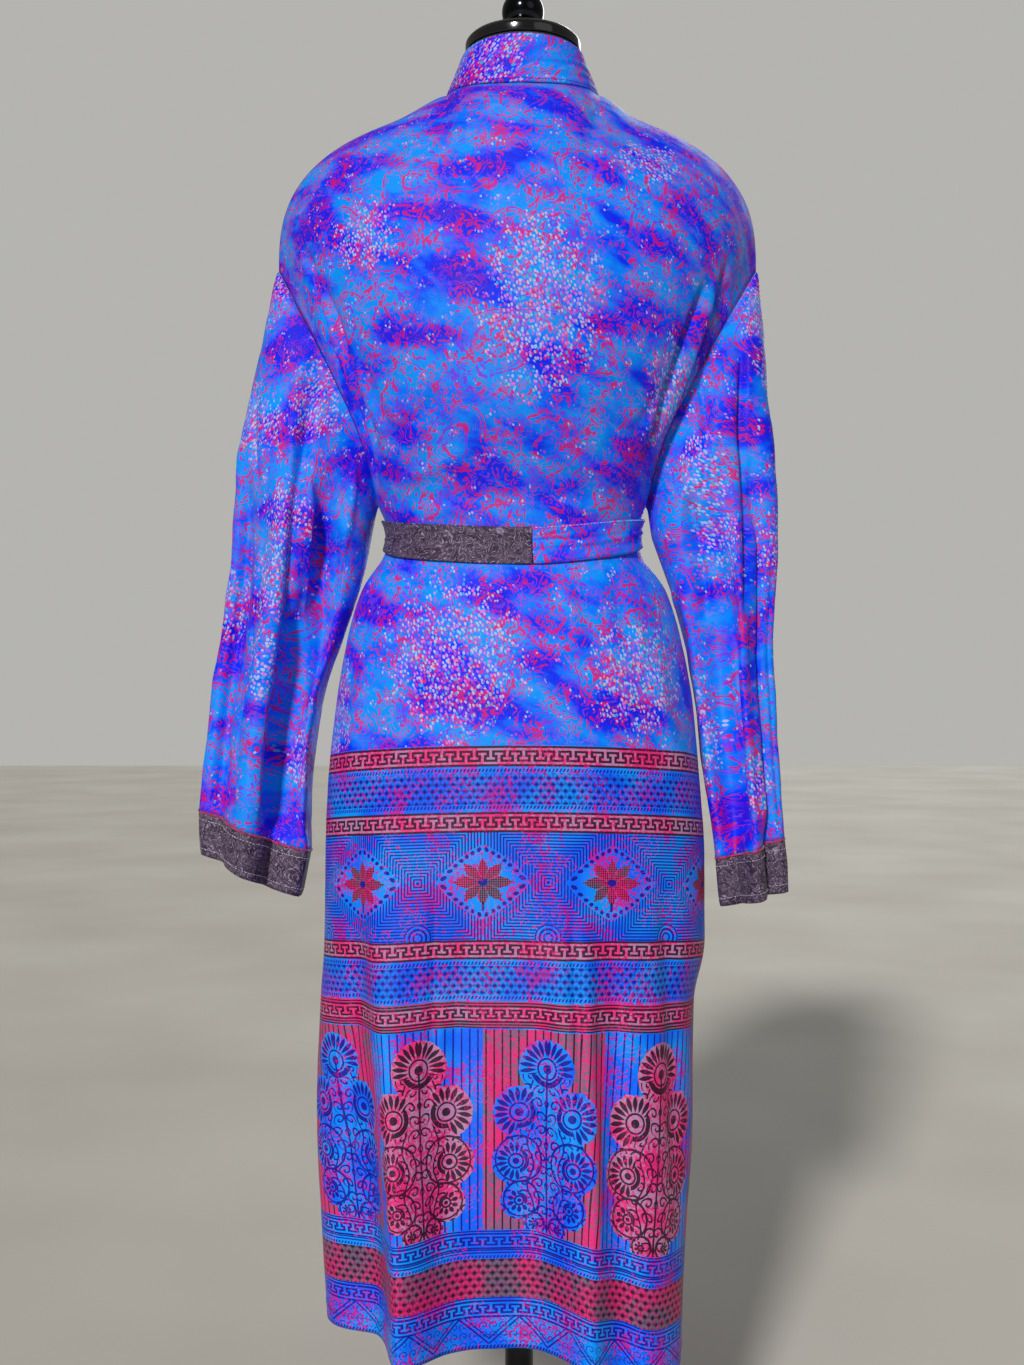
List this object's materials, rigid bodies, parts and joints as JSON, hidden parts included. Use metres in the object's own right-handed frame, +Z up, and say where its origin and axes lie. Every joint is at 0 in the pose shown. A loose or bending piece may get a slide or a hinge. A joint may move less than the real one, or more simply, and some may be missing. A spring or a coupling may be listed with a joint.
{
  "type": "kimono robe on a dress form",
  "caption": "Long printed silk kimono robe with a tied sash, worn by a limbless dress form on a round-based pole stand.",
  "frame": {"origin": "middle of the stand's underside, on the axis of its pole", "axes": "+Z up, -Y the wearer's front, +X the wearer's left"},
  "size_m": [0.586, 0.38, 1.5506],
  "materials": {
    "printed_silk": "satin silk, printed in blues and magenta",
    "plain_silk": "satin silk, grey-brown with a fine pale paisley",
    "form_cover": "black knit cover, matt",
    "form_cap": "black, glossy",
    "stand_metal": "black nickel, glossy"
  },
  "bodies": {
    "root": {"form_torso": "form_cover", "form_neck_cap": "form_cap", "form_knob": "stand_metal", "stand_pole": "stand_metal", "stand_base": "stand_metal", "back": "printed_silk", "neckband_back": "printed_silk", "front_left": "printed_silk", "front_right": "printed_silk", "neckband_left": "printed_silk", "neckband_right": "printed_silk", "sleeve_left": "printed_silk", "sleeve_right": "printed_silk", "cuff_left": "plain_silk", "cuff_right": "plain_silk", "sash_plain": "plain_silk", "sash_printed": "printed_silk", "sash_knot": "printed_silk", "sash_tail_left": "plain_silk", "sash_tail_right": "printed_silk"}
  },
  "joints": []
}
